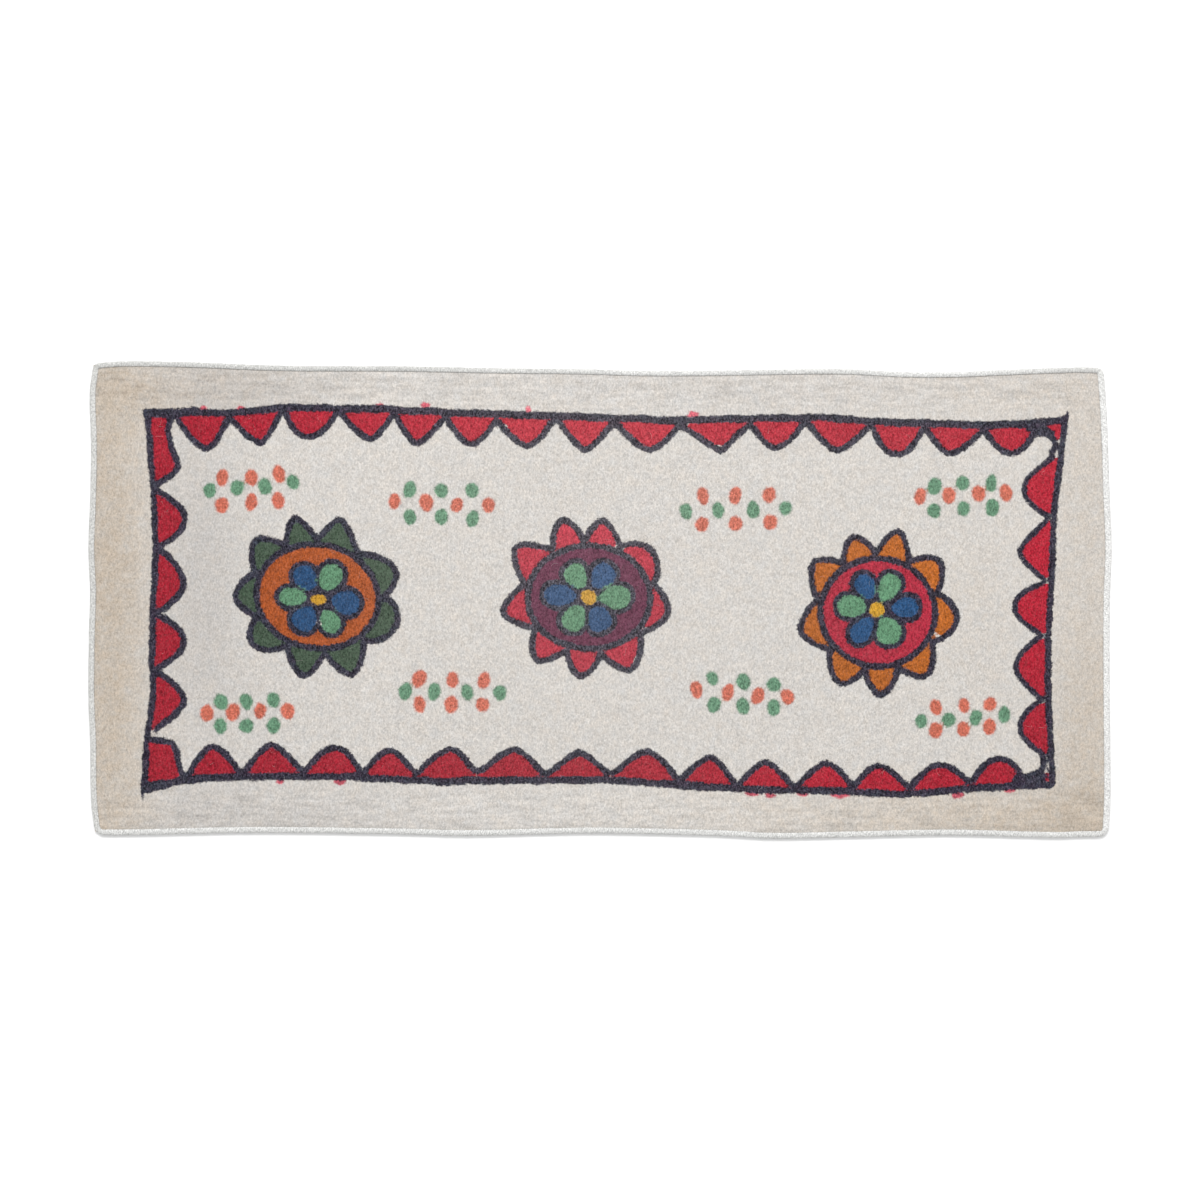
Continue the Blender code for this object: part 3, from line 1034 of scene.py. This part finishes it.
# %% Dark wool, streaks and relief
# Hairs that strayed into the dark wool are teal or plum, and dark locks lie over everything
STRAY_TEAL = (0.14, 0.24, 0.27)
STRAY_PLUM = (0.30, 0.18, 0.27)
DARK_LOCK = (0.16, 0.15, 0.15)
# The fleck is stronger in dyed wool, and stronger still in dark wool
POOL_CONTRAST = 1.3
INK_CONTRAST = 3.0
STREAK_SWING = 0.14
DARKEST = 0.25

stray_colour = blend(tree, grain["Warmth"], STRAY_TEAL, STRAY_PLUM)
navy = blend(tree, pale_fibre(0.12, 0.22), NAVY, stray_colour)
ink_mask = wool_mask("ink", Wander=0.9, Rag=1.2, Hair=1.7, Soft=1.0)
colour = blend(tree, maths(tree, "MULTIPLY", ink_mask, COVER), colour, navy)
colour = blend(tree, stored(tree, "milky"), colour, ground)
colour = blend(tree, maths(tree, "MULTIPLY", dark_locks, 0.20), colour, DARK_LOCK)

# Streaks lie along the border, where the wool was laid in long rows
streaks = fleck(tree, place_maths(tree, "MULTIPLY", place, (0.16, 1.0, 1.0)), 150, 2.0)
streaks = maths(tree, "MULTIPLY", maths(tree, "MULTIPLY", streaks, STREAK_SWING), stored(tree, "streaky"))
contrast = maths(tree, "MULTIPLY_ADD", pool_mask, POOL_CONTRAST, 1.0)
contrast = maths(tree, "MULTIPLY_ADD", ink_mask, INK_CONTRAST, contrast)
swing = maths(tree, "MULTIPLY", maths(tree, "SUBTRACT", grain["Shade"], 1.0), contrast)
swing = maths(tree, "ADD", maths(tree, "ADD", swing, streaks), 1.0)
colour = shaded(tree, colour, maths(tree, "MAXIMUM", swing, DARKEST))
feed(tree, shader.inputs["Base Color"], colour)
roughen(tree, shader, strands, grain["Height"], 0.35, 0.0004)
felt_mesh.materials.append(felt_wool)
print("felt material nodes:", len(tree.nodes))

# %% [markdown]
# ## The sewn edge
# White yarn is sewn over and over round the raw edge, so the edge ends in a soft roll of slanting stitches.
# A real coil of yarn round 4.4 m of edge would be some 1300 loops. Sweeping one round section along the
# outline and raising a ridge on it for each stitch gives the same relief with one closed skin.
#
# The section is charted as shares of the way from the outermost line to the lip, with a height in mm. The
# last column says how strongly a stitch lifts that point. The felt's rim enters the slot in the section.

# %% Stations round the rim
STATION = 0.82

lengths = np.hypot(*(np.roll(outer_ring, -1, axis=0) - outer_ring).T)
travelled = np.concatenate(((0,), np.cumsum(lengths)))
rim_length = travelled[-1]
station_count = int(rim_length / STATION)
stations = np.arange(station_count) * rim_length / station_count
stops = np.arange(len(outer_ring) + 1)


def along_ring(ring):
    """A ring's points at every station, with its corners between points rounded off."""
    closed = np.vstack((ring, ring[:1]))
    step = np.interp(stations, travelled, stops)
    points = np.column_stack([np.interp(step, stops, closed[:, axis]) for axis in (0, 1)])
    weights = np.exp(-((np.arange(-12, 13) * STATION / 4.0) ** 2) / 2)
    weights /= weights.sum()
    return sum(weight * np.roll(points, shift, axis=0) for weight, shift in zip(weights, range(-12, 13)))


outer_line = along_ring(outer_ring)
lip_line = along_ring(lip_ring)
print("rim, mm:", round(rim_length), "stations:", station_count)

# %% Section and stitches
# Section: share of the way in, extra mm inwards, height, how far a stitch lifts it
SECTION = (
    (1.00, 0.0, 4.90, 0.3),
    (1.00, 0.0, 5.45, 1.0),
    (0.87, 0.0, 6.15, 1.0),
    (0.70, 0.0, 6.60, 1.0),
    (0.50, 0.0, 6.72, 1.0),
    (0.30, 0.0, 6.50, 1.0),
    (0.14, 0.0, 5.80, 1.0),
    (0.03, 0.0, 4.70, 1.0),
    (0.00, 0.0, 3.20, 1.0),
    (0.03, 0.0, 1.60, 0.8),
    (0.16, 0.0, 0.35, 0.3),
    (0.34, 0.0, 0.00, 0.0),
    (1.00, 0.0, 0.00, 0.0),
    (1.00, 0.0, 1.25, 0.0),
    (0.00, 1.9, 1.45, 0.0),
    (0.00, 1.9, 4.70, 0.0),
)
PITCH = 3.3
LEAN = 0.30
STITCH_LIFT = 0.42
# How far the pitch drifts, in stitches, and the yarn's thickness varies, in mm
DRIFT = 1.6
THICK_SWING = 0.22

drift = np.array([noise.noise((s / 60, 3.3, 0)) for s in stations])
thick = np.array([noise.noise((s / 14, 9.1, 0)) for s in stations])
inwards = lip_line - outer_line
inwards /= np.hypot(*inwards.T)[:, None]


def section_line(index):
    """The points of one line of the section at every station, in mm."""
    share, extra, level, lift = SECTION[index]
    turn = stations / PITCH + LEAN * index + DRIFT * drift
    cycle = turn - np.floor(turn)
    ridge = 1 - (2 * cycle - 1) ** 2
    rise = lift * (STITCH_LIFT * (ridge - 0.6) + THICK_SWING * thick)
    flat = outer_line * (1 - share) + lip_line * share + inwards * extra
    steer = (share - 0.5) * 2
    flat = flat + inwards * (rise * np.clip(steer, -1, 1))[:, None]
    z = level + rise * (1 - abs(steer) ** 2) + 0.4 * rise * (level > 5)
    return np.column_stack((flat, np.maximum(z, 0)))


binding_bm = bmesh.new()
bmesh.ops.create_circle(binding_bm, segments=station_count, radius=1)
station_layer = binding_bm.verts.layers.int.new("station")
line_layer = binding_bm.verts.layers.int.new("line")
for index, vert in enumerate(binding_bm.verts):
    vert[station_layer] = index
first_edges = list(binding_bm.edges)
edges = first_edges
for index in range(len(SECTION)):
    points = section_line(index) * MM
    if index:
        made = bmesh.ops.extrude_edge_only(binding_bm, edges=edges)["geom"]
        edges = [item for item in made if isinstance(item, bmesh.types.BMEdge)]
        verts = [item for item in made if isinstance(item, bmesh.types.BMVert)]
    else:
        verts = list(binding_bm.verts)
    for vert in verts:
        vert.co = points[vert[station_layer]]
        vert[line_layer] = index
bmesh.ops.bridge_loops(binding_bm, edges=first_edges + edges)
bmesh.ops.recalc_face_normals(binding_bm, faces=binding_bm.faces)
print("binding faces:", len(binding_bm.faces), "stitches:", round(rim_length / PITCH))

# %% The binding as an object, with its yarn's own coordinates
binding_mesh = bpy.data.meshes.new("stitched_binding")
station_of = np.array([vert[station_layer] for vert in binding_bm.verts])
line_of = np.array([vert[line_layer] for vert in binding_bm.verts])
binding_bm.to_mesh(binding_mesh)
binding_bm.free()
binding_mesh.shade_smooth()
turns = stations[station_of] / PITCH + LEAN * line_of + DRIFT * drift[station_of]
side_x = outer_line[station_of, 0]
side_y = outer_line[station_of, 1]
# How far a place belongs to the left end, the right end and the far side
END_X = 735
END_Y = 335
END_RUN = 8
at_left = np.clip((-side_x - END_X) / END_RUN, 0, 1)
at_right = np.clip((side_x - END_X) / END_RUN, 0, 1)
at_top = np.clip((side_y - END_Y) / END_RUN, 0, 1)
keep(binding_mesh, "lay", turns)
keep(binding_mesh, "across", line_of)
# Share of the greyer yarn: painted shade on the far side, which the lamp lights most; darker at the left end,
# paler at the right end
keep(binding_mesh, "handled", 0.24 + 0.26 * at_left - 0.24 * at_right + 0.36 * at_top)
stitched_binding = put("stitched_binding", binding_mesh)
print("binding triangles:", 2 * len(binding_mesh.polygons))

# %% [markdown]
# ### Yarn material
# The yarn is off-white and soft. It is darker along the far side, as painted shade on the roll that the lamp
# lights most, darker also at the left end, and palest at the right end. The grooves between stitches hold
# painted shade, and where the needle went in at the seam a painted dark pinhole stands for the shade in the
# hole. Both follow the stitch number that the mesh carries, all round the rug.

# %% Yarn material
PALEST_YARN = wool(242, 242, 240)
GREYER_SHADED_YARN = wool(192, 192, 188)
GROOVE_SHADE = (0.36, 0.35, 0.34)
PINHOLE_SHADE = (0.08, 0.075, 0.07)

yarn, shader = new_material(
    "white_yarn", Roughness=0.9, Specular_IOR_Level=0.2, Sheen_Weight=0.15, Sheen_Roughness=0.5
)
tree = yarn.node_tree
place = object_place(tree)
grain = use_group(tree, wool_fleck, place, Tuft=0.30, Cloud=0.06).outputs
# Greyer yarn where the mesh says: painted shade on the far side, darker at the left end
colour = blend(tree, stored(tree, "handled"), PALEST_YARN, GREYER_SHADED_YARN)
cycle = maths(tree, "FRACT", stored(tree, "lay"))
groove = maths(tree, "ABSOLUTE", maths(tree, "MULTIPLY_ADD", cycle, 2.0, -1.0))
groove = maths(tree, "POWER", groove, 4.0)
colour = blend(tree, maths(tree, "MULTIPLY", groove, 0.36), colour, GROOVE_SHADE)

# Pinholes, painted dark for the shade inside a needle hole: one for every other stitch, only on the lines at
# the seam and where the yarn is tight
every_other = maths(tree, "FRACT", maths(tree, "MULTIPLY", stored(tree, "lay"), 0.5))
hole = maths(tree, "ABSOLUTE", maths(tree, "SUBTRACT", every_other, 0.5))
hole = maths(tree, "LESS_THAN", maths(tree, "MULTIPLY_ADD", grain["Height"], -0.12, hole), 0.15)
at_seam = maths(tree, "LESS_THAN", stored(tree, "across"), 1.25)
tight = add(tree, "ShaderNodeMapRange", Value=grain["Warmth"], From_Min=0.38, From_Max=0.60)
hole = maths(tree, "MULTIPLY", maths(tree, "MULTIPLY", hole, at_seam), tight.outputs[0])
colour = blend(tree, maths(tree, "MULTIPLY", hole, 0.75), colour, PINHOLE_SHADE)
feed(tree, shader.inputs["Base Color"], shaded(tree, colour, grain["Shade"]))
strands = use_group(tree, wool_strands, place, Turn=0.8, Shift=5.0).outputs[0]
roughen(tree, shader, strands, grain["Height"], 0.3, 0.0003)
binding_mesh.materials.append(yarn)
print("yarn material nodes:", len(tree.nodes))

# %% [markdown]
# ## Loose hair
# Some hairs never felt in. They lie on the sheet in small arcs, and they make the outside of the yarn edge
# look soft. Particle hair would do it, but it doesn't export. Short curves with a thin bevel do it too, once
# they are turned into a mesh.

# %% Hairs as curves turned to mesh
def hair_piece(name, paths, thickness, colour):
    """One mesh of many thin hairs, each a path of points in mm."""
    curve = bpy.data.curves.new(name, "CURVE")
    curve.dimensions = "3D"
    curve.bevel_depth = thickness * MM / 2
    curve.bevel_resolution = 0
    curve.use_fill_caps = True
    for path in paths:
        spline = curve.splines.new("POLY")
        spline.points.add(len(path) - 1)
        for point, (x, y, z) in zip(spline.points, path):
            point.co = (x * MM, y * MM, z * MM, 1)
    curve_object = put(name + "_curve", curve)
    settled = curve_object.evaluated_get(bpy.context.evaluated_depsgraph_get())
    mesh = bpy.data.meshes.new_from_object(settled)
    bpy.data.objects.remove(curve_object)
    mesh.name = name
    material, shader = new_material(name, Roughness=0.8, Specular_IOR_Level=0.2)
    tree = material.node_tree
    grain = use_group(tree, wool_fleck, object_place(tree), Tuft=0.08, Cloud=0.1).outputs
    feed(tree, shader.inputs["Base Color"], shaded(tree, colour, grain["Shade"]))
    mesh.materials.clear()
    mesh.materials.append(material)
    return put(name, mesh)


def surface_z(x, y):
    """Height of the felt at a place, from the nearest point of the net, in mm."""
    left = np.interp(y, *hidden_sides["left"])
    right = np.interp(y, *hidden_sides["right"])
    low = np.interp(x, *hidden_sides["bottom"])
    high = np.interp(x, *hidden_sides["top"])
    column = round((x - left) / (right - left) * COLUMNS)
    row = round((y - low) / (high - low) * ROWS)
    return height[row * (COLUMNS + 1) + column]


HAIR_SUNK = 0.1
HAIR_STEPS = 5
hair_chance = random.Random(7)


def curled_path(x, y, length, curl, lift):
    """A hair that lies on the felt in an arc, its ends sunk in."""
    heading = hair_chance.uniform(0, 2 * math.pi)
    bend = hair_chance.uniform(-curl, curl)
    path = []
    for step in range(HAIR_STEPS + 1):
        share = step / HAIR_STEPS
        z = surface_z(x, y) - HAIR_SUNK + lift * math.sin(math.pi * share)
        path.append((x, y, z))
        x += length / HAIR_STEPS * math.cos(heading)
        y += length / HAIR_STEPS * math.sin(heading)
        heading += bend / HAIR_STEPS
    return path


def strewn(count, half_x, high_y, longest, curl, lift):
    """Hairs strewn over the whole felt, from 4 mm long to the longest."""
    paths = []
    for _ in range(count):
        x = hair_chance.uniform(-half_x, half_x)
        y = hair_chance.uniform(-325, high_y)
        paths.append(curled_path(x, y, hair_chance.uniform(4, longest), curl, lift))
    return paths


print("felt height at the middle, mm:", round(float(surface_z(0, 0)), 2))

# %% Hairs on the felt
pale_paths = strewn(420, 728, 322, 14, 2.4, 0.35)
navy_paths = []
line_edges = np.nonzero((ink > -1.5) & (ink < 1.5))[0]
for _ in range(900):
    index = line_edges[hair_chance.randrange(len(line_edges))]
    navy_paths.append(curled_path(net_x[index], net_y[index], hair_chance.uniform(3, 8), 2.0, 0.3))
grey_paths = strewn(260, 725, 320, 12, 3.0, 0.3)
# One dark hair has sprung up in a curl beside the middle rosette
curl = [(66 + 3.2 * math.cos(a / 2), 91 + 3.4 * math.sin(a / 2), 5.9 + 0.02 * a) for a in range(13)]
navy_paths.append(curl + [(69, 95, 6.0)])
pale_hair = hair_piece("pale_hair", pale_paths, 0.11, wool(228, 224, 218))
navy_hair = hair_piece("navy_hair", navy_paths, 0.14, NAVY)
grey_hair = hair_piece("grey_hair", grey_paths, 0.14, wool(120, 112, 106))
print("hairs:", len(pale_paths), len(navy_paths), len(grey_paths))

# %% Fuzz on the binding
FUZZ_COUNT = 2600
FUZZ_STEPS = 3
FUZZ_LINES = range(1, 10)
# Fuzz on the lines before this one also stands up
FIRST_SIDE_LINE = 8

roots = []
for _ in range(FUZZ_COUNT):
    roots.append((hair_chance.randrange(station_count), hair_chance.choice(FUZZ_LINES)))
lines = [section_line(row) for row in range(len(SECTION))]
fuzz_paths = []
for index, row in roots:
    start = lines[row][index]
    out = -inwards[index] * (1 - 2 * SECTION[row][0])
    rise = hair_chance.uniform(0.3, 0.9) * (row < FIRST_SIDE_LINE)
    reach = hair_chance.uniform(0.3, 1.3)
    side = np.array((-inwards[index][1], inwards[index][0])) * hair_chance.uniform(-2.2, 2.2)
    path = []
    for step in range(FUZZ_STEPS + 1):
        share = step / FUZZ_STEPS
        arch = math.sin(math.pi * share)
        flat = start[:2] + side * share + out * reach * arch
        path.append((flat[0], flat[1], max(start[2] + rise * arch - 0.05, 0.1)))
    fuzz_paths.append(path)
binding_fuzz = hair_piece("binding_fuzz", fuzz_paths, 0.14, wool(236, 236, 233))
print("fuzz hairs:", len(fuzz_paths), "faces:", len(binding_fuzz.data.polygons))

# %% [markdown]
# ## One body
# The rug is one body. The sheet stands for the solid felt and the sewn edge for the solid binding. The
# hairs ride along.

# %% Pieces of the one body
for piece in (felt_sheet, stitched_binding, pale_hair, navy_hair, grey_hair, binding_fuzz):
    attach(piece, "root")
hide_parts("felt")
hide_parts("edge_binding")
